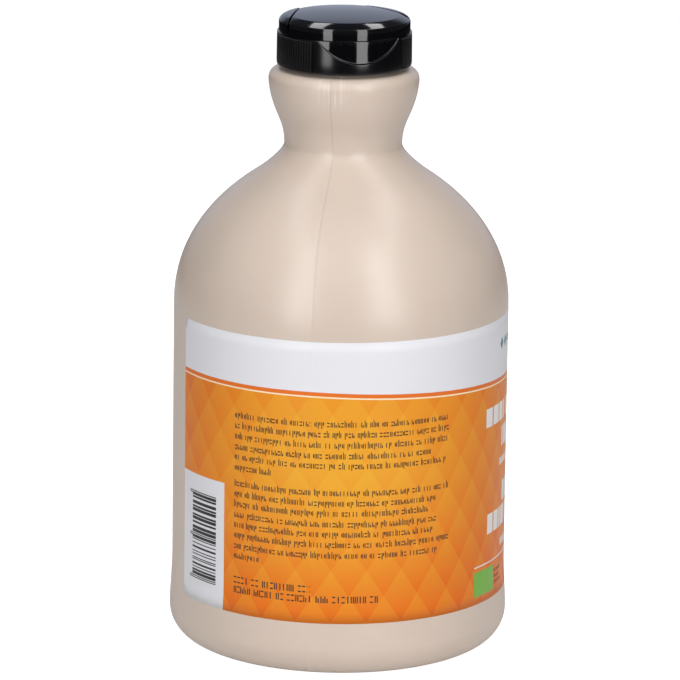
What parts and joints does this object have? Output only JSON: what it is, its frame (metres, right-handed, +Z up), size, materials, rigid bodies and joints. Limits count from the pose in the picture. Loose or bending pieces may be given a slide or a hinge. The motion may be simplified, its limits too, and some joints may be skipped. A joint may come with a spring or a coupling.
{
  "type": "maple syrup jug",
  "caption": "Round plastic syrup jug with a domed shoulder, pinched waist under a neck bead, wrap-round label and closed flip-top cap.",
  "frame": {"origin": "middle of the standing ring, on the surface the jug stands on", "axes": "+Z up along the jug's axis; -Y towards the viewer of the pictured side; +X to that viewer's right"},
  "size_m": [0.1028, 0.1028, 0.1926],
  "materials": {
    "jug_plastic": "satin taupe polyethylene, blow-moulded",
    "label_film": "semi-gloss printed film: white band over an orange field of lozenges",
    "cap_plastic": "glossy black moulded plastic"
  },
  "bodies": {
    "root": {"jug": "jug_plastic", "label": "label_film", "cap_base": "cap_plastic", "cap_lid": "cap_plastic"}
  },
  "joints": []
}
